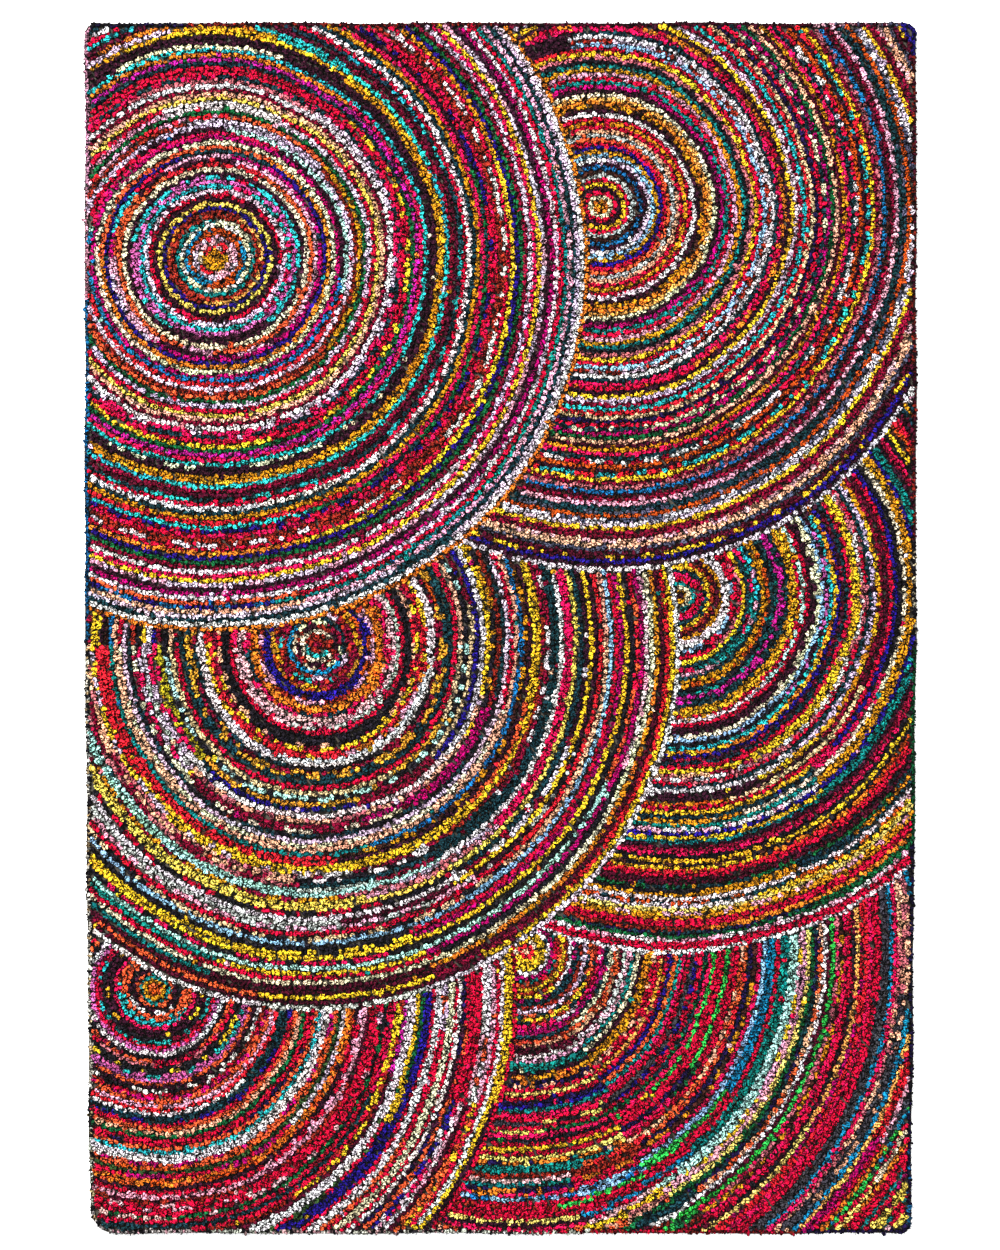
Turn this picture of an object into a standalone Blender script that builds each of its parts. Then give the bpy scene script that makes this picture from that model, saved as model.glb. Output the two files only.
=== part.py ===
"""A rag rug: one piece of canvas worked all over with rows of short cotton loops.

The rows run in rings round six centres. Each set of rings is a fan, and the fans overlap like
fish scales. X runs across the rug, Y along it and Z up. The origin is the middle of the underside.
"""

import math

import bmesh
import bpy

# The whole rug, in metres.
WIDTH = 1.600
LENGTH = 2.330
TAPER = 0.010  # each long side draws in by this much, from the middle of the rug to its -Y end
CORNER_RADIUS = 0.022
WORN_CORNER_RADIUS = 0.050  # the corner at -X, -Y
EDGE_WAVE = 0.0016  # how far the hand-worked edge wanders either way
WAVE_LENGTHS = (0.41, 0.26)
EDGE_STEP = 0.080  # between the points that draw the edge
CORNER_STEPS = 4

# Heights above the floor.
EDGE_HEIGHT = 0.008  # the single row of loops along the edge lies lower than the pile
VALLEY_HEIGHT = 0.009
PILE_HEIGHT = 0.014
RIM_HEIGHT = 0.0145  # a fan's outermost row stands a little proud of the fan below
EDGE_ROW = 0.009  # width of that single row

# The fans. A rib on the solid stands for five rows of loops.
FAN_RADIUS = 0.700
RIBS_PER_FAN = 16
RIB_PITCH = FAN_RADIUS / RIBS_PER_FAN
RING_STEPS = 36
FAN_LAP = 0.002  # how far a fan reaches past the hole that is cut for it in those below
FAN_FLOOR = 0.005  # underside of the lowest fan's disc, inside the ground
FLOOR_STEP = 0.0003  # each later fan's disc starts this much higher, so no undersides meet
HOLE_FLOOR = 0.007  # lower than the ground under the pile, which stays whole

# From the lowest fan to the topmost: name, centre and number of ribs.
FANS = (
    ("bottom_right", (0.049, -0.622), 22),
    ("bottom_left", (-0.664, -0.695), RIBS_PER_FAN),
    ("middle_right", (0.335, 0.060), RIBS_PER_FAN),
    ("middle_left", (-0.353, -0.033), RIBS_PER_FAN),
    ("top_right", (0.193, 0.811), RIBS_PER_FAN),
    ("top_left", (-0.548, 0.711), RIBS_PER_FAN),
)

RAG_COLOUR = (0.36, 0.06, 0.08, 1.0)
RAG_ROUGHNESS = 0.95


def clear_scene():
    for old in list(bpy.data.objects):
        bpy.data.objects.remove(old, do_unlink=True)


def collection(name):
    """A new collection in the scene."""
    made = bpy.data.collections.new(name)
    bpy.context.scene.collection.children.link(made)
    return made


def rag_material():
    """Matt cotton rags, in the colour that the many rows come to from far off."""
    material = bpy.data.materials.new("rag_pile")
    material.use_nodes = True
    shader = material.node_tree.nodes["Principled BSDF"]
    shader.inputs["Base Color"].default_value = RAG_COLOUR
    shader.inputs["Roughness"].default_value = RAG_ROUGHNESS
    shader.inputs["Metallic"].default_value = 0.0
    return material


# ---- The outline ----


def wander(distance, phase):
    """How far the edge strays outwards at a distance along it."""
    first, second = WAVE_LENGTHS
    slow = math.sin(2 * math.pi * distance / first + phase)
    quick = math.sin(2 * math.pi * distance / second + 2 * phase)
    return EDGE_WAVE * (0.6 * slow + 0.4 * quick)


def half_width(y):
    """Half the width of the rug at y: constant above the middle, drawn in below it."""
    return WIDTH / 2 - TAPER * max(0.0, -y) / (LENGTH / 2)


def corner(x, y, radius, start):
    """Points round a corner, from the angle start, a quarter turn anticlockwise."""
    centre_x = x - math.copysign(radius, x)
    centre_y = y - math.copysign(radius, y)
    points = []
    for step in range(CORNER_STEPS + 1):
        angle = math.radians(start + 90 * step / CORNER_STEPS)
        points.append((centre_x + radius * math.cos(angle), centre_y + radius * math.sin(angle)))
    return points


def stops(start, end):
    """Evenly spaced places strictly between start and end, about EDGE_STEP apart."""
    count = round(abs(end - start) / EDGE_STEP)
    return [start + (end - start) * step / count for step in range(1, count)]


def outline():
    """The rug's edge, anticlockwise from the -X, -Y corner, centred on the origin."""
    top = LENGTH / 2
    low_half = half_width(-top)
    high_half = half_width(top)
    worn = WORN_CORNER_RADIUS
    neat = CORNER_RADIUS
    points = corner(-low_half, -top, worn, 180)
    points += [(x, -top - wander(x, 0.4)) for x in stops(worn - low_half, low_half - neat)]
    points += corner(low_half, -top, neat, 270)
    points += [(half_width(y) + wander(y, 1.3), y) for y in stops(neat - top, top - neat)]
    points += corner(high_half, top, neat, 0)
    points += [(x, top + wander(x, 2.2)) for x in stops(high_half - neat, neat - high_half)]
    points += corner(-high_half, top, neat, 90)
    points += [(-half_width(y) - wander(y, 3.1), y) for y in stops(top - neat, worn - top)]
    middle_x = (max(x for x, y in points) + min(x for x, y in points)) / 2
    middle_y = (max(y for x, y in points) + min(y for x, y in points)) / 2
    return [(x - middle_x, y - middle_y) for x, y in points]


def inset(points, distance):
    """The outline moved inwards by a distance, each point along the bisector of its sides."""
    moved = []
    for index, (x, y) in enumerate(points):
        before = points[index - 1]
        after = points[(index + 1) % len(points)]
        along = math.hypot(after[0] - before[0], after[1] - before[1])
        inward = (-(after[1] - before[1]) / along, (after[0] - before[0]) / along)
        moved.append((x + distance * inward[0], y + distance * inward[1]))
    return moved


def slab(name, points, low, high, where):
    """A flat outline given a thickness, from the height low to the height high."""
    curve = bpy.data.curves.new(name, "CURVE")
    curve.dimensions = "2D"
    curve.fill_mode = "BOTH"
    curve.extrude = (high - low) / 2
    spline = curve.splines.new("POLY")
    spline.points.add(len(points) - 1)
    for point, (x, y) in zip(spline.points, points):
        point.co = (x, y, 0, 1)
    spline.use_cyclic_u = True
    drawn = bpy.data.objects.new(name + "_curve", curve)
    drawn.location.z = (low + high) / 2
    where.objects.link(drawn)
    bpy.context.view_layer.update()
    seen = drawn.evaluated_get(bpy.context.evaluated_depsgraph_get())
    mesh = bpy.data.meshes.new_from_object(seen)
    mesh.name = name
    welded = bmesh.new()
    welded.from_mesh(mesh)
    bmesh.ops.remove_doubles(welded, verts=welded.verts, dist=0.00005)
    bmesh.ops.recalc_face_normals(welded, faces=welded.faces)
    welded.to_mesh(mesh)
    welded.free()
    solid = bpy.data.objects.new(name, mesh)
    solid.matrix_world = drawn.matrix_world
    where.objects.link(solid)
    bpy.data.objects.remove(drawn, do_unlink=True)
    return solid


# ---- The pile ----


def fan_profile(ribs, floor):
    """Half the section of a fan: a rib to each RIB_PITCH, then down the rim and back."""
    points = []
    for rib in range(ribs):
        points.append((rib * RIB_PITCH, VALLEY_HEIGHT))
        points.append(((rib + 0.5) * RIB_PITCH, PILE_HEIGHT))
    points.append((ribs * RIB_PITCH, RIM_HEIGHT))
    points.append((ribs * RIB_PITCH, floor))
    points.append((0.0, floor))
    return points


def turned(name, profile, centre, where):
    """A profile of radius and height, turned round an upright axis through a centre."""
    mesh = bpy.data.meshes.new(name)
    line = bmesh.new()
    corners = [line.verts.new((radius, 0, height)) for radius, height in profile]
    for one, other in zip(corners, corners[1:]):
        line.edges.new((one, other))
    line.to_mesh(mesh)
    line.free()
    solid = bpy.data.objects.new(name, mesh)
    solid.location = (centre[0], centre[1], 0)
    where.objects.link(solid)
    screw = solid.modifiers.new("turn", "SCREW")
    screw.steps = RING_STEPS
    screw.render_steps = RING_STEPS
    screw.use_merge_vertices = True
    screw.merge_threshold = 0.0001
    return solid


def fan_hole(name, centre, ribs, where):
    """The disc that is taken out of the lower fans where this one lies over them."""
    radius = ribs * RIB_PITCH - FAN_LAP
    above = 2 * PILE_HEIGHT
    profile = [(0.0, above), (radius, above), (radius, HOLE_FLOOR), (0.0, HOLE_FLOOR)]
    return turned(name, profile, centre, where)


def combine(solid, operation, other):
    """Adds a Boolean of solid with the other one."""
    modifier = solid.modifiers.new(other.name, "BOOLEAN")
    modifier.operation = operation
    modifier.solver = "EXACT"
    modifier.object = other


def pile(field, guides):
    """All the fans as one solid, each over the ones before it, trimmed to the field."""
    lowest, *others = FANS
    name, centre, ribs = lowest
    worked = turned("pile", fan_profile(ribs, FAN_FLOOR), centre, guides)
    for rank, (name, centre, ribs) in enumerate(others, 1):
        hole = fan_hole(name + "_hole", centre, ribs, guides)
        fan = turned(name + "_fan", fan_profile(ribs, FAN_FLOOR + rank * FLOOR_STEP), centre, guides)
        combine(worked, "DIFFERENCE", hole)
        combine(worked, "UNION", fan)
    combine(worked, "INTERSECT", field)
    return worked


def main():
    clear_scene()
    parts = collection("rag_rug")
    guides = collection("guides")
    edge = outline()
    rug = slab("rug", edge, 0.0, EDGE_HEIGHT, parts)
    field = slab("field", inset(edge, EDGE_ROW), FAN_FLOOR / 2, 2 * PILE_HEIGHT, guides)
    combine(rug, "UNION", pile(field, guides))
    rug.data.materials.append(rag_material())
    for guide in guides.objects:
        guide.hide_render = True
        guide.display_type = "WIRE"


main()
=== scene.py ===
"""A rag rug: canvas worked all over with rows of short cotton loops, each row in its own rag.

The rows run in rings round six centres. Each set of rings is a fan, and the fans overlap like
fish scales, with one more row of loops along the whole edge. X runs across the rug, Y along it
and Z up. Everything is in metres.
"""

import collections
import math
import random

import bmesh
import bpy
from mathutils import Matrix, Vector


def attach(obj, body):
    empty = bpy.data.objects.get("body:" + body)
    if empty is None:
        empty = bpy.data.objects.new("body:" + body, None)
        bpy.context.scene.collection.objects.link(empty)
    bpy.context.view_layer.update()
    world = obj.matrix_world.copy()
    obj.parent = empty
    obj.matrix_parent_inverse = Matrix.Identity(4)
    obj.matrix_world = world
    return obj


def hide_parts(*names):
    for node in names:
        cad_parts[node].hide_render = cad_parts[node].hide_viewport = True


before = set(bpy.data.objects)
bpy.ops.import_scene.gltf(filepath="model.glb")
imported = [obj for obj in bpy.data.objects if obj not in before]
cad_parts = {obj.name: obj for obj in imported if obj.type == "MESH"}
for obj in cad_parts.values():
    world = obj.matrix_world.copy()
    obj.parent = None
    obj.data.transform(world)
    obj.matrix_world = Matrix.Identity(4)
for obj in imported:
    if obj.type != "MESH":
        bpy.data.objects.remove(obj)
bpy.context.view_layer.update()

SEED = 4127

# The outline, as on the solid.
WIDTH = 1.600
LENGTH = 2.330
TAPER = 0.010  # each long side draws in by this much, from the middle of the rug to its -Y end
CORNER_RADIUS = 0.022
WORN_CORNER_RADIUS = 0.050  # the corner at -X, -Y
EDGE_WAVE = 0.0016  # how far the hand-worked edge wanders either way
WAVE_LENGTHS = (0.41, 0.26)
WAVE_SHARES = (0.6, 0.4)
WAVE_PHASES = {"bottom": 0.4, "right": 1.3, "top": 2.2, "left": 3.1}
EDGE_STEP = 0.020  # between the points that draw the edge
CORNER_STEPS = 6
EDGE_ROW = 0.009  # width of the single row of loops along the edge

# The canvas.
CANVAS_THICKNESS = 0.0016
HEM_THICKNESS = 0.0014  # the turned edge, which lifts the rest off the floor
HEM_WIDTH = 0.018  # less than a corner's radius
WEAVE_PITCH = 0.0016
SLUB_SCALE = 90.0  # noise cells in a metre
UNDYED_DARK = (0.50, 0.42, 0.31, 1.0)
UNDYED_PALE = (0.62, 0.54, 0.42, 1.0)
PAINTED_COVER_SHADE = 0.06  # painted shade: how light the upper face is, under the loops, beside the lower one
WEAVE_RELIEF = 0.0004

# The loops. Heights are above the floor.
ROOT = HEM_THICKNESS + 0.9 * CANVAS_THICKNESS  # a loop's lowest point, inside the canvas
PILE_TOP = 0.0142
EDGE_TOP = 0.0105
LOOP_PITCH = 0.0098  # along a row
EDGE_PITCH = LOOP_PITCH / 2
LOOP_LENGTH = 0.0120
LOOP_WIDTH = 0.0080  # at most, before it is bulked out
THIN_RAG = 0.94  # width of the loops of the darkest rag, beside the others
THICK_RAG = 1.24  # and of the palest
LOOP_SHAPES = 12
MOST_LOOPS = 9400  # in one piece
FEWEST_LOOPS = 3  # in a row

# How uneven the loops are: from one share of the size meant to another.
Uneven = collections.namedtuple("Uneven", "length width height")
FAN_LOOPS = Uneven((0.74, 1.26), (0.86, 1.38), (0.74, 1.04))
EDGE_LOOPS = Uneven((0.36, 0.70), (0.76, 1.34), (0.76, 1.14))
EDGE_STEPS = (0.9, 1.1)  # the same for the steps along the edge

# How unevenly they are worked. A pair is a mean and a spread.
FULLNESS = (1.12, 0.05)  # how wide the loops are, beside their row
ROW_SHIFT = 0.08  # how far a row lies off its place, as a share of its width
STEP_SHIFT = 0.28  # how far a loop lies off its place along the row, as a share of the pitch
LOOP_SHIFT = 0.0014  # how far a loop lies off its row
OWN_SWAY = 0.0006  # small waves that each row has for itself
OWN_WAVES = 13
CHANGE_SHIFT = 0.4  # by how many degrees a change of rag is blurred
LOOP_LEAN = 0.36  # in radians, as the turns are
LOOP_TURN = 0.6
EDGE_SHIFT = 0.0013  # how far a loop of the edge row lies off its middle
EDGE_OUT = (0.15, 0.15)  # how far it leans outwards
EDGE_LEAN = 0.15  # and along the edge
EDGE_TURN = 0.35
EDGE_GAP = 0.05  # how far in from the edge row a fan's loops start, as a share of their width

# How far the rows of a fan wander together: in so many waves to a turn, which start at so many
# times the fan's own phase and shift by so much from the centre to the rim.
Sway = collections.namedtuple("Sway", "size waves phase shift")
SWAYS = (
    Sway(0.0042, 2, 1.0, 2.2),
    Sway(0.0022, 5, 1.7, -3.1),
    Sway(0.0010, 11, 2.3, 7.0),
)
MOST_SWAY = 0.02  # more than a row ever wanders
SWAY_START = 0.30  # rows nearer the centre than this sway less
FAN_RADIUS = 0.700  # where the shifts are whole and a fan's drift has ended

# How the rags follow one another in a row.
RAG_RUNS = (1, 1, 2, 2, 3)  # loops in one rag before the next is picked
STRIP_LOOPS = (8, 45)  # loops out of one torn strip
STRIP_LIGHT = 0.10  # how much the strips of a rag differ in lightness
STRIP_TINT = 0.05  # and in each colour
LOOP_LIGHT = 0.17  # how much the loops of a strip differ in lightness
STRAY_RAGS = 0.022  # share of the loops that are in any rag of the row or the ones beside it

# A loop's lump, about one unit wide and high, and how its points are moved.
POLE = 0.4  # only the top point lies higher than this, and only the root as far down
TOP_DENT = (-0.34, 0.0)
TOP_SHIFT = (-0.2, 0.2)
UPPER_SPREAD = (0.78, 1.36)
UPPER_STRETCH = (0.4, 1.8)
UPPER_LIFT = 0.08
LOWER_SPREAD = (0.95, 1.30)
LOWER_LIFT = (-0.06, 0.16)

# The loose threads along the edge. The first three are for a thread one unit long.
THREAD_RADIUS = 0.045
THREAD_BEND = (-0.35, 0.35)
THREAD_RISES = (0.08, -0.10)
THREAD_SHAPES = 8
THREADS_EACH = (1, 2, 2, 3)  # on each stretch between two points of the edge
SHORT_STRETCH = 0.01  # a stretch shorter than this has one
THREAD_LENGTH = (0.004, 0.0085)
THREAD_INSET = (0.0015, 0.0045)
THREAD_HEIGHT = (0.005, 0.009)
THREAD_ROLL = 0.3
THREAD_TILT = (-0.2, 0.2)
THREAD_TURN = 0.7

# The rags' cloth. The fold and wrinkle noises make bumps and are also painted shade: dark lines
# where a noise passes its middle value, with a slight painted highlight between the wrinkle lines.
PAINTED_DARK_HEIGHT = 0.0066  # painted shade keeps the loops dark up to here
PAINTED_LIT_HEIGHT = 0.0122  # and the painted shade has gone from here up, leaving their full colour
# how light the painted shade leaves the loops at their lowest
PAINTED_DARK_SHADE = 0.05
# A painted crease shade; dark and bright are the painted shades on a line and away from it.
ShadedCrease = collections.namedtuple("ShadedCrease", "scale detail start end dark bright")
FOLDS_AND_SHADE = ShadedCrease(150.0, 1.0, 0.030, 0.100, 0.0, 1.0)
WRINKLES_AND_SHADE = ShadedCrease(350.0, 1.5, 0.0, 0.085, 0.35, 1.08)
FIBRE_SCALE = 1500.0
RAG_RELIEF = 0.0020

# The setting.
FLOOR_HALF = 8.0  # half its width
FLOOR_TONES = (0.90, 0.92)
DAYLIGHT = (0.94, 0.97, 1.0, 1.0)
DAYLIGHT_STRENGTH = 1.04
Lamp = collections.namedtuple("Lamp", "name place size power")
LAMPS = (
    Lamp("key", (-4.4, 5.2, 6.8), 2.2, 4200.0),
    Lamp("fill", (2.6, -1.6, 3.8), 3.0, 120.0),
)
LENS = 85.0  # mm, and so is the sensor
SENSOR = 36.0
VIEW_MIDDLE = (-0.001, 0.006)
VIEW_HEIGHT = 2.401  # what the camera takes in, at the height of the pile

# Rags, as sRGB.
RAGS = {
    "crimson": 0xC80632, "red": 0xDE1C2C, "rose": 0xE20E50, "magenta": 0xA8005C,
    "fuchsia": 0xB81888, "orchid": 0xC2589C, "maroon": 0x4A0820, "wine": 0x80082C,
    "plum": 0x331022, "black": 0x1C1820, "brown": 0x3A1C16, "rust": 0xC24A12,
    "brick": 0x8E2418, "orange": 0xE07820, "coral": 0xE4562C, "apricot": 0xF4A850,
    "peach": 0xEAA886, "gold": 0xCA8614, "yellow": 0xF0BC24, "lemon": 0xECD468,
    "cream": 0xE2D8B0, "sand": 0xD8B888, "olive": 0xA8981C, "white": 0xEADFE2,
    "lilac": 0xD2BAD2, "pink": 0xE29CB4, "dusty": 0xB8606A, "mint": 0xA4D8CC,
    "turquoise": 0x26ACAE, "teal": 0x0C7470, "petrol": 0x12343C, "green": 0x0E5A30,
    "leaf": 0x2EB848, "navy": 0x1C1040, "royal": 0x20127C, "blue": 0x14669E,
    "sky": 0x84B0D2, "slate": 0x4A4C60, "sage": 0xB4BCB4, "charcoal": 0x3A3840,
    "cyan": 0x107AA2, "moss": 0x2C4420, "ivory": 0xE0DCD0, "straw": 0xE8C850,
    "indigo": 0x200E6C, "amber": 0xDA982A, "blush": 0xE0ACB2,
}

# The order of the rags in each fan, row by row from the centre out. A row runs anticlockwise from
# -180 to 180 degrees, with 0 at +X: "crimson@-65 gold" is crimson as far as -65 degrees and gold
# from there on. "gold+wine" is worked in both by turns.
TOP_LEFT = """
gold, gold, red+gold+red, blush+cream+blush+red@40 red@70 blush+cream+blush, lilac+pink,
rust+cyan@-100 rust, cyan@-110 rust@-50 cyan@35 rust@120 cyan, cream+white, teal@20 cream@85 teal,
brick, brick@-110 apricot@-15 brick@0 apricot@60 brick@140 orange, indigo, straw, plum,
crimson+crimson+plum, lilac, turquoise@-60 rose+turquoise@80 turquoise, orchid,
turquoise+orchid@-120 plum@-50 turquoise@50 crimson+turquoise@90 turquoise+orchid, plum, cream,
coral@-110 pink@-90 coral@60 red@120 coral, pink@-130 pink+plum@-45 pink@80 plum@140 coral,
pink+lilac@-130 magenta@80 pink@120 crimson@140 turquoise@165 magenta, indigo@60 petrol@110 indigo,
orange@60 coral, cream, magenta, blue@-10 plum@60 rose@165 blue, red@-15 mint@85 plum@125 crimson,
lilac, brick@40 lilac@100 brick, coral@-40 gold@40 coral@85 red+pink, green,
lilac@65 white@110 pink, crimson@65 white@110 crimson, straw, peach, wine, white,
lilac+rose@15 lilac@55 dusty@120 crimson, petrol+rose, crimson,
yellow@-80 yellow+crimson@45 crimson, green@20 petrol, fuchsia, rose@50 orange, turquoise,
cream+plum@-50 plum@70 cream@118 plum, plum, gold@55 plum, yellow+gold, turquoise@75 gold@100 lilac,
wine@55 turquoise@80 orange@120 wine, maroon, petrol+turquoise, crimson, white, petrol, gold,
red@-60 rose, turquoise@-70 petrol+green@20 plum, indigo+crimson, rose+crimson, brick, white+brick,
crimson, orange@-75 yellow@20 gold, indigo, green, wine, white@-35 lilac, rose, yellow, pink+lilac,
plum, magenta, lilac+white, coral@-75 crimson, blue+indigo@-80 teal, peach@-75 pink,
lilac@-60 petrol, petrol@-50 lilac, white, orange
"""
MIDDLE_LEFT = """
wine, brick, turquoise@-20 brick, cream@-30 brick@25 cream, brick+plum, plum+wine+cream,
cyan@-30 petrol@140 cyan, brick+brick+lilac+wine, wine+brick+wine+turquoise, gold+wine,
amber+rust+wine, royal, royal@-45 rust+pink+royal@160 royal, brick+pink, orange, rust+orange,
petrol+rose@-50 orange+rose, blush+rose, blush, crimson+blush@-100 sage+rose, crimson, black, black,
peach+black@-75 black@-45 peach+red, wine+yellow, red, red+yellow@-75 pink+orange@-15 red+yellow,
white, white, petrol+black@-65 wine+black, amber+wine@10 rust+amber, amber+amber+petrol, petrol,
crimson, sand@-60 amber@-30 sand@0 peach, mint+black, olive@-135 amber@-75 wine@-45 sand@15 wine,
olive+rose@-135 royal+petrol@-75 wine@-45 royal, lilac+rose@-140 white,
lilac+sage@-135 peach+dusty@-45 yellow+peach@-15 yellow,
rose+lilac@-135 wine@-75 magenta@-20 black+gold, cream+wine@-60 magenta@-20 brick, black+petrol,
lilac, peach+cream@-20 crimson, peach, teal@-75 blue, red@-85 gold+brown, red@-85 plum,
red@-145 yellow@-45 coral@-15 yellow, lilac+yellow@-90 yellow,
peach+dusty@-95 white+wine@-60 brick+wine, wine+peach@-95 white+black@-60 petrol@-40 white+wine,
dusty+wine@-95 petrol, mint@-95 sage@-75 wine@-60 petrol, mint@-60 white,
gold+wine@-85 lilac+dusty@-45 rose, straw@-80 pink+dusty@-45 rose, straw,
crimson+black@-55 petrol+crimson@-35 petrol, white@-60 white+wine@-20 plum,
sage@-85 maroon@-60 yellow, pink+sage@-55 plum@-40 sage+black@-20 plum, crimson@-50 red,
sand+black@-50 peach, sky, black@-72 crimson, yellow@-95 black+yellow@-72 magenta, yellow,
rose+black@-72 black, mint@-25 coral+crimson, teal@-108 yellow@-70 magenta,
crimson@-68 black@-22 white+pink, cream, teal@-108 maroon@-70 orange+gold, maroon,
coral@-100 yellow@-70 wine@-45 red, maroon@-62 yellow, white
"""
MIDDLE_RIGHT = """
plum, gold, cream, teal, crimson, rose, petrol, yellow, brick, maroon, gold, white, white,
sky+crimson, crimson+black, crimson+dusty, yellow, petrol, rose+teal, turquoise+pink, petrol,
gold, gold+rust, black+petrol, teal+petrol, fuchsia, petrol+fuchsia, petrol, gold, yellow,
gold+crimson, white@-45 mint, crimson, plum, plum@-45 plum+cream, cream, sky,
black@-45 plum+orchid, turquoise, orange+yellow, royal, wine+plum, petrol, crimson, yellow,
peach+wine@-65 yellow, dusty+white, crimson+dusty, petrol, white@-55 lilac, plum@-66 gold+yellow,
plum@-45 wine, rust+gold@-75 sand@-25 maroon, crimson, yellow@-52 rose@-44 royal,
petrol@-52 rose@-20 black, gold@-73 cream, teal@-52 gold, pink+white@-52 gold, royal,
yellow@-52 teal, teal, plum, wine, rose, black, yellow, black+brown,
yellow@-72 orange+black@-45 rust, red, crimson, black+maroon, maroon, green+petrol,
black@-85 gold@-66 petrol@-53 gold, gold@-66 petrol, white, rust+petrol@-45 rust+pink,
lilac+white@-75 yellow, lemon, pink+gold, gold, crimson, crimson, brick@-85 orange,
petrol+navy@-66 green, green, white+pink, crimson, crimson, white
"""
BOTTOM_LEFT = """
rust, coral+rust, gold, teal, coral, plum, white+black, coral, coral+turquoise@-40 coral,
turquoise@-40 coral+turquoise, rose, plum, yellow+plum, black, turquoise+wine, crimson, orchid,
white, black, coral+wine, crimson+dusty, black, yellow+black, turquoise+orchid, orchid, coral, plum,
white+black, crimson+brick, magenta+coral, coral, pink, red, white@-45 petrol, petrol, petrol+royal,
crimson, coral, peach, green, crimson, crimson+navy, coral, turquoise, white, white, magenta+coral,
coral+rust, moss, crimson+magenta@-45 white+lilac, rust+orange, rust+orange+coral,
plum@-60 crimson+plum, crimson@-60 pink+crimson, pink, brick+maroon,
crimson+crimson+blush@-60 crimson, crimson+crimson+blush@-60 crimson,
crimson@-65 blush+crimson@-30 pink+crimson, green+blush@-70 black+green, crimson, petrol@-25 rose,
petrol+crimson@-75 crimson@-30 yellow, yellow+brick, maroon@-20 fuchsia, white, white,
crimson+moss@-30 yellow, royal@-30 yellow@-20 green, royal, royal, crimson, white, white,
coral@-30 crimson@-8 coral+lilac, crimson@-8 lilac, cream, cream, crimson, white, plum+navy,
coral@-20 crimson+coral, royal+white@-20 crimson, white+rose@-20 crimson, pink+white@-20 crimson,
maroon@-20 pink@-8 white, coral@-30 crimson@-20 white+coral@-8 white, coral+yellow@-20 pink,
crimson, white, yellow, plum@-18 yellow, crimson
"""
BOTTOM_RIGHT = """
peach, red, cream+yellow, yellow, yellow, white+petrol, magenta, teal+crimson, brick+coral, yellow,
brick, yellow@-50 white, magenta+petrol, petrol, brick, lilac, petrol+coral,
yellow@-50 coral+yellow, brick+petrol, rose+white, magenta, magenta@-60 brick+petrol,
petrol@-60 cream+white, coral+brick, coral+peach, maroon, maroon@-60 white+sage, white@-60 pink,
pink@-60 teal, teal@-60 cream, teal@-60 plum, plum@-60 gold, orange+gold,
orange+navy@-60 peach+crimson, navy+peach@-60 crimson, crimson@-60 apricot+gold, lemon@-60 crimson,
crimson@-60 royal, navy@-60 coral+orange, royal+navy@-60 teal, teal@-60 rose, rose@-60 crimson,
crimson@-60 charcoal, charcoal@-85 black+lemon@-60 crimson+royal, crimson, lemon@-85 petrol+green,
rose, black@-62 yellow+crimson@-48 leaf, crimson, yellow@-62 crimson, crimson@-62 navy@-34 leaf,
lemon@-62 rose@-45 black+green@-32 crimson, navy+orange@-62 crimson, teal@-65 peach+coral,
teal@-75 red+coral, brick@-60 navy, blush@-78 brick@-60 gold+brown,
teal@-78 orange+crimson@-62 rose, navy+orange@-78 crimson@-62 sky,
rose+orange@-78 blue+sky@-62 leaf@-35 cyan, blue+sky@-62 leaf@-50 crimson@-35 cyan,
crimson@-76 leaf@-62 crimson, crimson+brick@-83 leaf@-75 crimson@-50 teal,
crimson@-63 cyan@-50 teal, crimson@-71 cyan@-63 crimson@-55 mint,
lemon@-78 cyan@-71 crimson@-65 blush@-61 mint, plum@-76 rose@-73 blush@-65 yellow@-60 yellow+pink,
rose@-77 blush@-70 yellow@-60 pink, coral@-79 yellow@-69 rose+dusty@-60 lemon,
peach+gold@-72 coral+peach@-60 green, peach+coral@-68 petrol+green@-55 petrol+navy,
green@-68 petrol@-55 coral+peach, maroon@-70 petrol@-57 white, maroon@-66 white@-57 maroon,
maroon+brick@-62 leaf, leaf+green@-57 dusty+rose, green+leaf+brown@-57 gold+brown, brick@-57 rose,
crimson, black+maroon, lemon@-30 apricot, magenta+red, red, rose, crimson, crimson, charcoal,
charcoal, cyan, rose, dusty+peach, charcoal@-6 dusty+peach, charcoal+peach@-6 dusty+peach, cyan,
apricot, magenta@-28 red, magenta@-28 red, crimson@-28 pink, orange@-28 charcoal, leaf+cyan,
crimson, lemon@-33 cream, orange+crimson, crimson, crimson, teal, crimson@-33 magenta, straw, straw,
teal+crimson, crimson+pink, pink+straw, straw, navy, crimson, rose, maroon
"""
TOP_RIGHT = """
gold, orange, cream, crimson, plum, yellow, crimson, sage, brown, blue, plum, lilac+white, sky,
gold, royal, crimson, coral, sage, peach, crimson, gold, crimson, white, plum, gold+brown, orange,
apricot, cream, plum, magenta, teal, crimson, pink, gold, teal, black, dusty, yellow,
crimson@100 red@125 crimson, sky@100 plum@125 sky, brick+lilac@100 plum@125 brick+lilac,
white@100 plum@125 white, petrol@100 plum@125 petrol, rose, orange+crimson, plum, yellow, lilac,
wine, turquoise, red, sand, navy, crimson, cream+petrol, magenta, green, peach, maroon, gold, rose,
petrol, white+crimson, rust, plum, turquoise+red, yellow, wine, dusty, blue, maroon+brown, wine,
pink, petrol, petrol+slate, rust, white+slate, lilac+white, yellow, wine, wine, peach+blush, peach,
slate, maroon, yellow+maroon, royal, plum, white
"""

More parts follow.
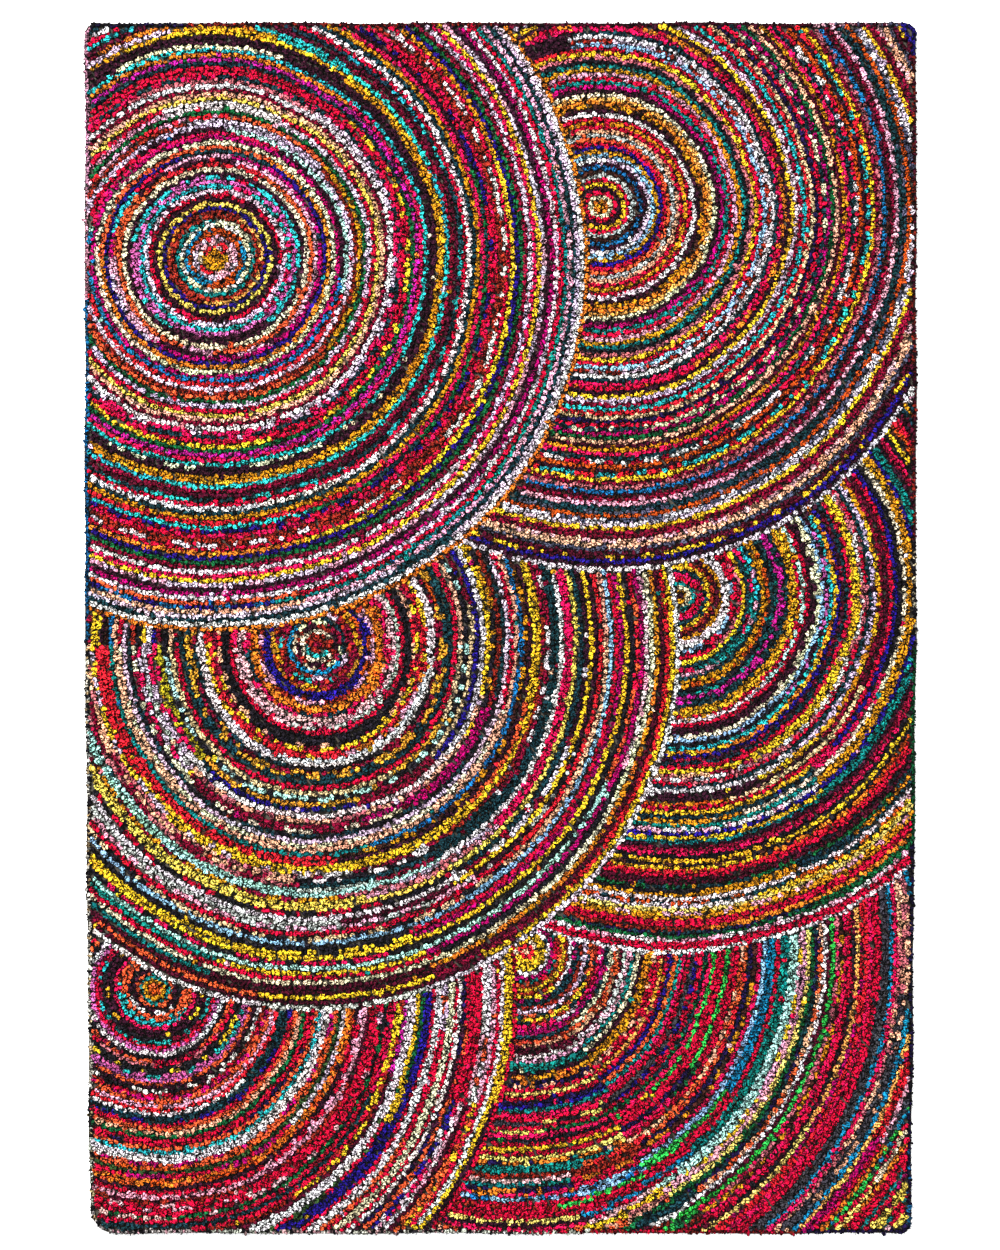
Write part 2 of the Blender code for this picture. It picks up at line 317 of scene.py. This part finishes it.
# The spacing says how far out a fan has got after so many rows, the drift how far its innermost
# rows lie off centre, and the phase sets its sway apart from the others'.
Fan = collections.namedtuple("Fan", "name centre rags spacing drift phase")
FANS = (  # from the topmost to the lowest
    Fan("top_left", (-0.548, 0.711), TOP_LEFT, ((85, 0.719),), (0.0, 0.0), 0.7),
    Fan("top_right", (0.193, 0.811), TOP_RIGHT, ((89, 0.700),), (0.0, 0.0), 2.1),
    Fan(
        "middle_left",
        (-0.353, -0.033),
        MIDDLE_LEFT,
        ((20.5, 0.167), (31.5, 0.251), (40.5, 0.346), (57.5, 0.493), (79, 0.700)),
        (0.0, 0.0),
        3.9,
    ),
    Fan(
        "middle_right",
        (0.335, 0.060),
        MIDDLE_RIGHT,
        ((49.5, 0.376), (59.5, 0.461), (91, 0.690)),
        (0.010, 0.0),
        5.2,
    ),
    Fan(
        "bottom_left",
        (-0.664, -0.695),
        BOTTOM_LEFT,
        ((31.5, 0.227), (44.5, 0.324), (69.5, 0.521), (79.5, 0.587), (93, 0.700)),
        (0.0, 0.0),
        1.4,
    ),
    Fan(
        "bottom_right",
        (0.049, -0.622),
        BOTTOM_RIGHT,
        ((9.5, 0.073), (27.5, 0.200), (47.5, 0.363), (64.5, 0.513), (88.5, 0.704), (117, 0.926)),
        (0.0, 0.0),
        4.6,
    ),
)

# The edge row: for each side, the rags up to a place along it, which is an X or a Y.
EDGE_RAGS = {
    "bottom": (
        (0.050, "ivory+blush+ivory+black"), (0.172, "ivory+crimson"), (0.575, "brick+crimson"),
        (math.inf, "navy"),
    ),
    "right": (
        (-1.000, "navy+blue"), (-0.410, "navy+black"), (-0.035, "green"), (0.170, "cream+black"),
        (1.100, "maroon+brick"), (math.inf, "royal"),
    ),
    "top": (
        (-0.606, "navy+black"), (-0.010, "maroon+brick"), (0.600, "maroon"),
        (0.770, "blush+slate+maroon"), (math.inf, "royal"),
    ),
    "left": ((-0.023, "ivory+sand+ivory+black"), (0.630, "blue"), (math.inf, "pink")),
}


# ---- Finishes ----


def linear(value):
    """One channel of an sRGB colour, from 0 to 1, as light."""
    return value / 12.92 if value <= 0.04045 else ((value + 0.055) / 1.055) ** 2.4


def rag_light(name):
    """A rag's colour as light, three numbers."""
    code = RAGS[name]
    return tuple(linear((code >> shift & 0xFF) / 0xFF) for shift in (16, 8, 0))


class Socket:
    """A socket of a finish. Arithmetic on it adds the nodes that work it out."""

    def __init__(self, finish, link):
        self.finish = finish
        self.link = link

    def work(self, operation, *values):
        """The outcome of an operation on these values."""
        return self.finish.node("ShaderNodeMath", {"operation": operation}, dict(enumerate(values)))

    def __add__(self, other):
        return self.work("ADD", self, other)

    def __sub__(self, other):
        return self.work("SUBTRACT", self, other)

    def __rsub__(self, other):
        return self.work("SUBTRACT", other, self)

    def __mul__(self, other):
        return self.work("MULTIPLY", self, other)

    __radd__ = __add__
    __rmul__ = __mul__

    def off(self, value):
        """How far this lies from a value, either way."""
        return self.work("ABSOLUTE", self - value)

    def tint(self, amount):
        """This colour, made lighter or darker by an amount."""
        sockets = {"Vector": self, "Scale": amount}
        return self.finish.node("ShaderNodeVectorMath", {"operation": "SCALE"}, sockets)


class Finish:
    """A material that is built node by node."""

    def __init__(self, name):
        self.material = bpy.data.materials.new(name)
        self.material.use_nodes = True
        self.nodes = self.material.node_tree.nodes
        self.shader = self.nodes["Principled BSDF"]
        self.place = self.node("ShaderNodeTexCoord", {}, {}, out="Object")

    def node(self, kind, settings, sockets, out=0):
        """A node of any kind, with its settings and what goes into its sockets."""
        made = self.nodes.new(kind)
        for setting, value in settings.items():
            setattr(made, setting, value)
        for key, value in sockets.items():
            self.feed(made.inputs[key], value)
        return Socket(self, made.outputs[out])

    def feed(self, target, value):
        """Links a value to a socket, or sets the socket to it where it is the same all over."""
        if isinstance(value, Socket):
            self.material.node_tree.links.new(value.link, target)
        else:
            target.default_value = value

    def noise(self, scale, detail=2.0):
        """A noise between 0 and 1, of so many cells in a metre."""
        sockets = {"Vector": self.place, "Scale": scale, "Detail": detail}
        return self.node("ShaderNodeTexNoise", {}, sockets, out="Fac")

    def remap(self, value, low, high, to_low, to_high):
        """A value from low to high, as one from to_low to to_high, held at those."""
        sockets = dict(enumerate((value, low, high, to_low, to_high)))
        return self.node("ShaderNodeMapRange", {}, sockets)

    def mixed(self, amount, one, other):
        """One colour going over into another."""
        sockets = {0: amount, 6: one, 7: other}
        return self.node("ShaderNodeMix", {"data_type": "RGBA"}, sockets, out=2)

    def up(self):
        """The height above the floor."""
        return self.node("ShaderNodeSeparateXYZ", {}, {0: self.place}, out="Z")

    def bands(self, direction, pitch):
        """Soft bands across a direction."""
        settings = {"wave_type": "BANDS", "bands_direction": direction, "wave_profile": "SIN"}
        scale = math.pi / (10 * pitch)  # at a scale of 1 they repeat every pi / 10
        sockets = {"Vector": self.place, "Scale": scale}
        return self.node("ShaderNodeTexWave", settings, sockets, out="Fac")

    def shaded_creases(self, kind):
        """Painted crease shade: lines of dark on bright, as a kind of crease says."""
        away = self.noise(kind.scale, kind.detail).off(0.5)
        return self.remap(away, kind.start, kind.end, kind.dark, kind.bright)

    def relief(self, height, distance, strength):
        """Bumps on the surface, of so many metres for a height of 1."""
        sockets = {"Height": height, "Distance": distance, "Strength": strength}
        self.feed(self.shader.inputs["Normal"], self.node("ShaderNodeBump", {}, sockets))

    def coat(self, **values):
        """What goes into the shader's own sockets, with spaces written as underscores."""
        for name, value in values.items():
            self.feed(self.shader.inputs[name.replace("_", " ")], value)
        return self.material


def rag_cloth():
    """Torn cotton: painted shade down between the loops, painted crease shade on them, and creased,
    fibrous bumps.
    """
    finish = Finish("rag_cloth")
    rag = finish.node("ShaderNodeAttribute", {"attribute_name": "rag"}, {}, out="Color")
    # Painted shade: the loops grow darker towards the canvas, where shade falls between them.
    painted_low_shade = finish.remap(finish.up(), PAINTED_DARK_HEIGHT, PAINTED_LIT_HEIGHT, PAINTED_DARK_SHADE, 1.0)
    # Painted crease shade, which also gives the bump heights below.
    folds_and_shade = finish.shaded_creases(FOLDS_AND_SHADE)
    wrinkles_and_shade = finish.shaded_creases(WRINKLES_AND_SHADE)
    fibres = finish.noise(FIBRE_SCALE)
    finish.relief(folds_and_shade + 0.5 * wrinkles_and_shade + 0.3 * fibres, RAG_RELIEF, 1.0)
    # The rag's colour with the painted shade between the loops and on the crease lines.
    colour = rag.tint(painted_low_shade * folds_and_shade * wrinkles_and_shade)
    return finish.coat(Base_Color=colour, Roughness=0.92, Specular_IOR_Level=0.06)


def canvas_cloth():
    """Undyed canvas in plain weave, with painted shade where the loops cover it."""
    finish = Finish("canvas_cloth")
    weave = finish.bands("X", WEAVE_PITCH) * finish.bands("Y", WEAVE_PITCH)
    upper_face = HEM_THICKNESS + CANVAS_THICKNESS
    # Painted shade: the upper face, in the shade of the loops, is darkened.
    painted_cover_shade = finish.remap(finish.up(), HEM_THICKNESS, upper_face, 1.0, PAINTED_COVER_SHADE)
    slubs = finish.noise(SLUB_SCALE, 4.0)
    # The painted shade times the weave and slub tones.
    shade = painted_cover_shade * (0.62 + 0.34 * weave + 0.30 * slubs)
    undyed = finish.mixed(slubs, UNDYED_DARK, UNDYED_PALE)
    finish.relief(weave + 0.3 * slubs, WEAVE_RELIEF, 0.6)
    return finish.coat(Base_Color=undyed.tint(shade), Roughness=0.9, Specular_IOR_Level=0.2)


# ---- The outline ----


def wander(distance, side):
    """How far a side of the rug strays outwards at a distance along it."""
    phase = WAVE_PHASES[side]
    first, second = WAVE_LENGTHS
    slow_share, quick_share = WAVE_SHARES
    slow = math.sin(2 * math.pi * distance / first + phase)
    quick = math.sin(2 * math.pi * distance / second + 2 * phase)
    return EDGE_WAVE * (slow_share * slow + quick_share * quick)


def half_width(y):
    """Half the width of the rug at y: constant above the middle, drawn in below it."""
    return WIDTH / 2 - TAPER * max(0.0, -y) / (LENGTH / 2)


def corner(x, y, radius, start):
    """Points round a corner, from the angle start, a quarter turn anticlockwise."""
    centre_x = x - math.copysign(radius, x)
    centre_y = y - math.copysign(radius, y)
    points = []
    for step in range(CORNER_STEPS + 1):
        angle = math.radians(start + 90 * step / CORNER_STEPS)
        points.append((centre_x + radius * math.cos(angle), centre_y + radius * math.sin(angle)))
    return points


def stops(start, end):
    """Evenly spaced places strictly between start and end, about EDGE_STEP apart."""
    count = round(abs(end - start) / EDGE_STEP)
    return [start + (end - start) * step / count for step in range(1, count)]


def outline():
    """The rug's edge, anticlockwise from the -X, -Y corner."""
    top = LENGTH / 2
    low_half = half_width(-top)
    high_half = half_width(top)
    worn = WORN_CORNER_RADIUS
    neat = CORNER_RADIUS
    points = corner(-low_half, -top, worn, 180)
    for x in stops(worn - low_half, low_half - neat):
        points.append((x, -top - wander(x, "bottom")))
    points += corner(low_half, -top, neat, 270)
    for y in stops(neat - top, top - neat):
        points.append((half_width(y) + wander(y, "right"), y))
    points += corner(high_half, top, neat, 0)
    for x in stops(high_half - neat, neat - high_half):
        points.append((x, top + wander(x, "top")))
    points += corner(-high_half, top, neat, 90)
    for y in stops(top - neat, worn - top):
        points.append((-half_width(y) - wander(y, "left"), y))
    return points


def room(x, y):
    """How far a place lies inside the edge."""
    top = LENGTH / 2
    across = half_width(y)
    sides = (across + wander(y, "right") - x, across + wander(y, "left") + x)
    ends = (top + wander(x, "top") - y, top + wander(x, "bottom") + y)
    radius = WORN_CORNER_RADIUS if x < 0 and y < 0 else CORNER_RADIUS
    aside = radius - min(sides)
    along = radius - min(ends)
    if aside > 0 and along > 0:
        return radius - math.hypot(aside, along)
    return min(*sides, *ends)


# ---- Canvas ----


def thing(name, mesh, material):
    """An object for a mesh, in the scene, with its material."""
    made = bpy.data.objects.new(name, mesh)
    bpy.context.scene.collection.objects.link(made)
    made.data.materials.append(material)
    return made


def make_canvas(material):
    """The ground cloth with its edge turned under once."""
    cloth = bmesh.new()
    face = cloth.faces.new([cloth.verts.new((x, y, HEM_THICKNESS)) for x, y in outline()])
    face.normal_update()
    rim = bmesh.ops.inset_region(
        cloth, faces=[face], thickness=HEM_WIDTH, use_boundary=True, use_even_offset=True
    )
    hem = rim["faces"]
    ground = cloth.faces[:]
    raised = bmesh.ops.extrude_face_region(cloth, geom=ground, use_keep_orig=True)["geom"]
    upper = [part for part in raised if isinstance(part, bmesh.types.BMVert)]
    bmesh.ops.translate(cloth, verts=upper, vec=(0, 0, CANVAS_THICKNESS))
    lowered = bmesh.ops.extrude_face_region(cloth, geom=hem)["geom"]
    lower = [part for part in lowered if isinstance(part, bmesh.types.BMVert)]
    bmesh.ops.translate(cloth, verts=lower, vec=(0, 0, -HEM_THICKNESS))
    bmesh.ops.delete(cloth, geom=hem, context="FACES")
    bmesh.ops.triangulate(cloth, faces=cloth.faces)
    bmesh.ops.recalc_face_normals(cloth, faces=cloth.faces)
    mesh = bpy.data.meshes.new("canvas")
    cloth.to_mesh(mesh)
    cloth.free()
    return thing("canvas", mesh, material)


# ---- Loops ----


def loop_shape(number, dice, where, material):
    """One worked loop: a crumpled lump of rag, one unit high and wide, standing on its root."""
    lump = bmesh.new()
    bmesh.ops.create_icosphere(lump, subdivisions=1, radius=0.5)
    dent = dice.uniform(*TOP_DENT)
    for point in lump.verts:
        spot = point.co
        if spot.z > POLE:
            spot.z += dent
            spot.x += dice.uniform(*TOP_SHIFT)
            spot.y += dice.uniform(*TOP_SHIFT)
        elif spot.z > 0:
            spread = dice.uniform(*UPPER_SPREAD)
            spot.x *= spread
            spot.y *= spread
            spot.z = spot.z * dice.uniform(*UPPER_STRETCH) + UPPER_LIFT
        elif spot.z > -POLE:
            spread = dice.uniform(*LOWER_SPREAD)
            spot.x *= spread
            spot.y *= spread
            spot.z += dice.uniform(*LOWER_LIFT)
    turn = Matrix.Rotation(dice.uniform(0, math.tau), 3, "Z")
    bmesh.ops.rotate(lump, verts=lump.verts, matrix=turn)
    return guide_shape("loop_%d" % number, lump, where, material)


def guide_shape(name, lump, where, material):
    """A small shape for the loops' rows to repeat."""
    mesh = bpy.data.meshes.new(name)
    lump.to_mesh(mesh)
    lump.free()
    mesh.materials.append(material)
    shape = bpy.data.objects.new(name, mesh)
    where.objects.link(shape)
    return shape


# What each point says, and the socket that takes it.
PLACED = (
    ("shape", "INT", "Instance Index"),
    ("turn", "FLOAT_VECTOR", "Rotation"),
    ("size", "FLOAT_VECTOR", "Scale"),
)


def placing(shapes):
    """Puts a shape on each point, as the point's own shape, turn and size say."""
    tree = bpy.data.node_groups.new("placing", "GeometryNodeTree")
    tree.interface.new_socket("Geometry", in_out="INPUT", socket_type="NodeSocketGeometry")
    tree.interface.new_socket("Geometry", in_out="OUTPUT", socket_type="NodeSocketGeometry")
    nodes = tree.nodes
    start = nodes.new("NodeGroupInput")
    end = nodes.new("NodeGroupOutput")
    each = nodes.new("GeometryNodeInstanceOnPoints")
    lumps = nodes.new("GeometryNodeCollectionInfo")
    real = nodes.new("GeometryNodeRealizeInstances")
    lumps.inputs["Collection"].default_value = shapes
    lumps.inputs["Separate Children"].default_value = True
    lumps.inputs["Reset Children"].default_value = True
    each.inputs["Pick Instance"].default_value = True
    tree.links.new(start.outputs[0], each.inputs["Points"])
    tree.links.new(lumps.outputs["Instances"], each.inputs["Instance"])
    for attribute, kind, socket in PLACED:
        named = nodes.new("GeometryNodeInputNamedAttribute")
        named.data_type = kind
        named.inputs["Name"].default_value = attribute
        tree.links.new(named.outputs["Attribute"], each.inputs[socket])
    tree.links.new(each.outputs["Instances"], real.inputs["Geometry"])
    tree.links.new(real.outputs["Geometry"], end.inputs[0])
    return tree


Loop = collections.namedtuple("Loop", "place turn size rag shape")


def work_loops(name, loops, tree, material):
    """One mesh of many loops."""
    points = bmesh.new()
    rag = points.verts.layers.float_color.new("rag")
    turn = points.verts.layers.float_vector.new("turn")
    size = points.verts.layers.float_vector.new("size")
    shape = points.verts.layers.int.new("shape")
    for loop in loops:
        point = points.verts.new(loop.place)
        point[rag] = (*loop.rag, 1.0)
        point[turn] = loop.turn
        point[size] = loop.size
        point[shape] = loop.shape
    mesh = bpy.data.meshes.new(name + "_points")
    points.to_mesh(mesh)
    points.free()
    marked = bpy.data.objects.new(name + "_points", mesh)
    bpy.context.scene.collection.objects.link(marked)
    marked.modifiers.new("placing", "NODES").node_group = tree
    seen = marked.evaluated_get(bpy.context.evaluated_depsgraph_get())
    worked = bpy.data.meshes.new_from_object(seen)
    worked.name = name
    bpy.data.objects.remove(marked, do_unlink=True)
    for attribute, _, _ in PLACED:
        spare = worked.attributes.get(attribute)
        if spare:
            worked.attributes.remove(spare)
    worked.materials.clear()
    return thing(name, worked, material)


def stretches(row):
    """A row of a chart as (end angle, rags) pairs, in order."""
    found = []
    for word in row.split():
        rags, _, end = word.partition("@")
        found.append((float(end or 180), rags.split("+")))
    return found


def chart(rags):
    """A fan's chart as one list of stretches for each row."""
    return [stretches(row) for row in rags.split(",")]


def rim_sway(fan, rest, angle):
    """How far a row drawn at the radius rest strays outwards at an angle."""
    ease = min(1.0, rest / SWAY_START)
    reach = rest / FAN_RADIUS
    slow, middle, quick = (
        sway.size * math.sin(sway.waves * angle + sway.phase * fan.phase + sway.shift * reach)
        for sway in SWAYS
    )
    return ease * (slow + ease * (middle + quick))


def covers(fan, x, y):
    """Whether a fan lies over this place."""
    across = x - fan.centre[0]
    along = y - fan.centre[1]
    distance = math.hypot(across, along)
    reach = fan.spacing[-1][1]
    if abs(distance - reach) > MOST_SWAY:
        return distance < reach
    return distance < reach + rim_sway(fan, reach, math.atan2(along, across))


class RagBag:
    """Hands out the rag for each loop of a row in turn, as one strip after another."""

    def __init__(self, dice):
        self.dice = dice
        self.strip = (1.0, 1.0, 1.0)
        self.strip_left = 0
        self.rag = None
        self.rag_left = 0

    def next_rag(self, rags, stray):
        """The next loop's colour, from one of the row's rags, or now and then a stray one."""
        if self.rag not in rags or self.rag_left <= 0:
            self.rag = self.dice.choice(rags)
            self.rag_left = self.dice.choice(RAG_RUNS)
        self.rag_left -= 1
        if self.strip_left <= 0:
            light = self.dice.gauss(1.0, STRIP_LIGHT)
            self.strip = tuple(light * self.dice.gauss(1.0, STRIP_TINT) for _ in range(3))
            self.strip_left = self.dice.randint(*STRIP_LOOPS)
        self.strip_left -= 1
        rag = self.dice.choice(stray) if self.dice.random() < STRAY_RAGS else self.rag
        light = self.dice.gauss(1.0, LOOP_LIGHT)
        shades = (rag_part * tint * light for rag_part, tint in zip(rag_light(rag), self.strip))
        return tuple(min(1.0, max(0.0, shade)) for shade in shades)


def paleness(rag):
    """From 0, black, to 1, white."""
    return sum(RAGS[rag].to_bytes(3, "big")) / (3 * 0xFF)


def bulk(row):
    """How wide a row's loops are: the paler rags are torn from thicker cloth."""
    before = -180.0
    total = 0.0
    for end, rags in row:
        pale = sum(paleness(rag) for rag in rags) / len(rags)
        total += (end - before) / 360 * (THIN_RAG + (THICK_RAG - THIN_RAG) * pale)
        before = end
    return total


def at_angle(row, degrees):
    """The rags that a row is worked in at an angle."""
    for end, rags in row:
        if degrees <= end:
            return rags
    return row[-1][1]


def row_radius(fan, done):
    """How far out a fan has got after so many rows."""
    rows = 0.0
    radius = 0.0
    for next_rows, next_radius in fan.spacing:
        if done <= next_rows:
            return radius + (done - rows) / (next_rows - rows) * (next_radius - radius)
        rows = next_rows
        radius = next_radius
    return radius


def rags_beside(rows, number):
    """All the rags of a row and of the ones next to it."""
    near = rows[max(0, number - 1):number + 2]
    return [rag for row in near for _, rags in row for rag in rags]


def uneven_size(dice, meant, uneven):
    """A loop's length, width and height, each drawn about the one that is meant."""
    return tuple(size * dice.uniform(*shares) for size, shares in zip(meant, uneven))


def fan_loops(fan, above):
    """All the loops of a fan that don't lie under the fans above, row by row."""
    dice = random.Random("%d %s" % (SEED, fan.name))
    rows = chart(fan.rags)
    worked = []
    for number, row in enumerate(rows):
        bag = RagBag(dice)
        rest = row_radius(fan, number + 0.5 + dice.uniform(-ROW_SHIFT, ROW_SHIFT))
        width = min(LOOP_WIDTH, row_radius(fan, number + 1) - row_radius(fan, number))
        own_phase = dice.uniform(0, math.tau)
        fullness = bulk(row) * dice.gauss(*FULLNESS)
        meant = (LOOP_LENGTH, width * fullness, PILE_TOP - ROOT)
        count = max(FEWEST_LOOPS, round(math.tau * rest / LOOP_PITCH))
        start = dice.uniform(0, math.tau)
        stray = rags_beside(rows, number)
        drifted = max(0.0, 1.0 - rest / FAN_RADIUS)
        middle_x = fan.centre[0] + drifted * fan.drift[0]
        middle_y = fan.centre[1] + drifted * fan.drift[1]
        loops = []
        for step in range(count):
            angle = start + math.tau * (step + dice.uniform(-STEP_SHIFT, STEP_SHIFT)) / count
            angle = math.atan2(math.sin(angle), math.cos(angle))
            radius = rest + rim_sway(fan, rest, angle) + dice.gauss(0, LOOP_SHIFT)
            radius += OWN_SWAY * math.sin(OWN_WAVES * angle + own_phase)
            x = middle_x + radius * math.cos(angle)
            y = middle_y + radius * math.sin(angle)
            degrees = math.degrees(angle) + dice.gauss(0, CHANGE_SHIFT)
            rag = bag.next_rag(at_angle(row, degrees), stray)
            size = uneven_size(dice, meant, FAN_LOOPS)
            lean = (dice.uniform(-LOOP_LEAN, LOOP_LEAN), dice.uniform(-LOOP_LEAN, LOOP_LEAN))
            shape = dice.randrange(LOOP_SHAPES)
            if room(x, y) < EDGE_ROW + EDGE_GAP * width:
                continue
            if any(covers(other, x, y) for other in above):
                continue
            turn = (*lean, angle + math.pi / 2 + dice.gauss(0, LOOP_TURN))
            loops.append(Loop((x, y, ROOT + size[2] / 2), turn, size, rag, shape))
        if loops:
            worked.append(loops)
    return worked


def in_batches(rows):
    """Whole rows put together into pieces of at most MOST_LOOPS loops."""
    batches = [[]]
    for row in rows:
        if len(batches[-1]) + len(row) > MOST_LOOPS:
            batches.append([])
        batches[-1] += row
    return batches


def side_of(x, y):
    """The side of the rug that a place on the edge belongs to, and how far along it lies."""
    if WIDTH / 2 - abs(x) < LENGTH / 2 - abs(y):
        return ("right" if x > 0 else "left"), y
    return ("top" if y > 0 else "bottom"), x


def edge_rags(x, y):
    """The rags that the edge row is worked in at a place."""
    side, distance = side_of(x, y)
    return next(rags for limit, rags in EDGE_RAGS[side] if distance <= limit).split("+")


def edge_stretches():
    """The edge as the start of each stretch between two of its points, and the way along it."""
    points = outline()
    for start, end in zip(points, points[1:] + points[:1]):
        yield start, Vector((end[0] - start[0], end[1] - start[1]))


def edge_loops():
    """The single row of loops along the edge."""
    dice = random.Random("%d edge" % SEED)
    bag = RagBag(dice)
    meant = (LOOP_LENGTH, EDGE_ROW, EDGE_TOP - ROOT)
    loops = []
    carried = 0.0
    for start, along in edge_stretches():
        length = along.length
        along.normalize()
        inward = Vector((-along.y, along.x))
        while carried < length:
            inset = EDGE_ROW / 2 + dice.gauss(0, EDGE_SHIFT)
            x = start[0] + along.x * carried + inward.x * inset
            y = start[1] + along.y * carried + inward.y * inset
            rags = edge_rags(x, y)
            bag.rag_left = 0
            rag = bag.next_rag(rags, rags)
            size = uneven_size(dice, meant, EDGE_LOOPS)
            facing = math.atan2(along.y, along.x) + dice.gauss(0, EDGE_TURN)
            turn = (dice.gauss(*EDGE_OUT), dice.gauss(0, EDGE_LEAN), facing)
            place = (x, y, ROOT + size[2] / 2)
            loops.append(Loop(place, turn, size, rag, dice.randrange(LOOP_SHAPES)))
            carried += EDGE_PITCH * dice.uniform(*EDGE_STEPS)
        carried -= length
    return loops


# ---- Loose threads ----


def thread_shape(number, dice, where, material):
    """A torn thread that lies loose: a bent three-sided strand along X, one unit long."""
    strand = bmesh.new()
    upright = Matrix.Rotation(math.pi / 2, 4, "Y")
    bmesh.ops.create_circle(
        strand, cap_ends=True, segments=3, radius=THREAD_RADIUS, matrix=upright
    )
    tip = strand.faces[:]
    for rise in THREAD_RISES:
        middle = tip
        grown = bmesh.ops.extrude_face_region(strand, geom=tip)["geom"]
        tips = [part for part in grown if isinstance(part, bmesh.types.BMVert)]
        step = (1 / len(THREAD_RISES), dice.uniform(*THREAD_BEND), rise)
        bmesh.ops.translate(strand, verts=tips, vec=step)
        tip = [part for part in grown if isinstance(part, bmesh.types.BMFace)]
    bmesh.ops.delete(strand, geom=middle, context="FACES")
    bmesh.ops.triangulate(strand, faces=strand.faces)
    bmesh.ops.recalc_face_normals(strand, faces=strand.faces)
    return guide_shape("stray_%d" % number, strand, where, material)


def edge_threads():
    """Loose threads that stick out along the edge."""
    dice = random.Random("%d strays" % SEED)
    threads = []
    for start, along in edge_stretches():
        outward = math.atan2(-along.x, along.y)
        for _ in range(dice.choice(THREADS_EACH) if along.length > SHORT_STRETCH else 1):
            share = dice.random()
            inset = dice.uniform(*THREAD_INSET)
            x = start[0] + share * along.x - inset * math.cos(outward)
            y = start[1] + share * along.y - inset * math.sin(outward)
            size = (dice.uniform(*THREAD_LENGTH),) * 3
            facing = (dice.gauss(0, THREAD_ROLL), dice.uniform(*THREAD_TILT))
            turn = (*facing, outward + dice.gauss(0, THREAD_TURN))
            place = (x, y, dice.uniform(*THREAD_HEIGHT))
            shape = dice.randrange(THREAD_SHAPES)
            rag = rag_light(dice.choice(edge_rags(x, y)))
            threads.append(Loop(place, turn, size, rag, shape))
    return threads


# ---- Setting ----


def make_floor():
    """A plain pale floor."""
    ground = bmesh.new()
    bmesh.ops.create_grid(ground, x_segments=1, y_segments=1, size=FLOOR_HALF)
    mesh = bpy.data.meshes.new("floor")
    ground.to_mesh(mesh)
    ground.free()
    finish = Finish("floor_paint")
    tone = finish.remap(finish.noise(3.0), 0.0, 1.0, *FLOOR_TONES)
    white = finish.node("ShaderNodeCombineColor", {}, {0: tone, 1: tone, 2: tone})
    floor = thing("floor", mesh, finish.coat(Base_Color=white, Roughness=0.8))


def add_lamp(lamp):
    """A soft square lamp that faces the middle of the rug."""
    data = bpy.data.lights.new(lamp.name, "AREA")
    data.size = lamp.size
    data.energy = lamp.power
    hung = bpy.data.objects.new(lamp.name, data)
    hung.location = lamp.place
    hung.rotation_euler = (-Vector(lamp.place)).to_track_quat("-Z", "Y").to_euler()
    bpy.context.scene.collection.objects.link(hung)


def light_setting():
    """Even daylight from all round, and the lamps."""
    world = bpy.data.worlds.new("studio")
    world.use_nodes = True
    backdrop = world.node_tree.nodes["Background"]
    backdrop.inputs["Color"].default_value = DAYLIGHT
    backdrop.inputs["Strength"].default_value = DAYLIGHT_STRENGTH
    bpy.context.scene.world = world
    for lamp in LAMPS:
        add_lamp(lamp)


def add_camera():
    """Straight above the rug, as far off as the lens needs for the whole of it."""
    data = bpy.data.cameras.new("camera")
    data.lens = LENS
    data.sensor_fit = "VERTICAL"
    data.sensor_height = SENSOR
    camera = bpy.data.objects.new("camera", data)
    camera.location = (*VIEW_MIDDLE, PILE_TOP + VIEW_HEIGHT / 2 * LENS / (SENSOR / 2))
    bpy.context.scene.collection.objects.link(camera)
    bpy.context.scene.camera = camera


def shape_collection(name, count, make, material):
    """A collection of so many shapes, for the rows to repeat."""
    shapes = bpy.data.collections.new(name)
    dice = random.Random("%d %s" % (SEED, name))
    for number in range(count):
        make(number, dice, shapes, material)
    return shapes


def main():
    rag = rag_cloth()
    canvas = make_canvas(canvas_cloth())
    loop_tree = placing(shape_collection("loops", LOOP_SHAPES, loop_shape, rag))
    pieces = []
    for rank, fan in enumerate(FANS):
        for number, batch in enumerate(in_batches(fan_loops(fan, FANS[:rank])), 1):
            name = "%s_rows_%d" % (fan.name, number)
            pieces.append(work_loops(name, batch, loop_tree, rag))
    pieces.append(work_loops("edge_row", edge_loops(), loop_tree, rag))
    thread_tree = placing(shape_collection("strays", THREAD_SHAPES, thread_shape, rag))
    pieces.append(work_loops("edge_strays", edge_threads(), thread_tree, rag))
    for piece in pieces:
        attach(piece, "root")
        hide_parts("rug")
    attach(canvas, "root")
    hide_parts("rug")
    make_floor()
    light_setting()
    add_camera()


main()
bpy.context.scene.view_settings.view_transform = "Standard"  # it keeps the rags' strong colours
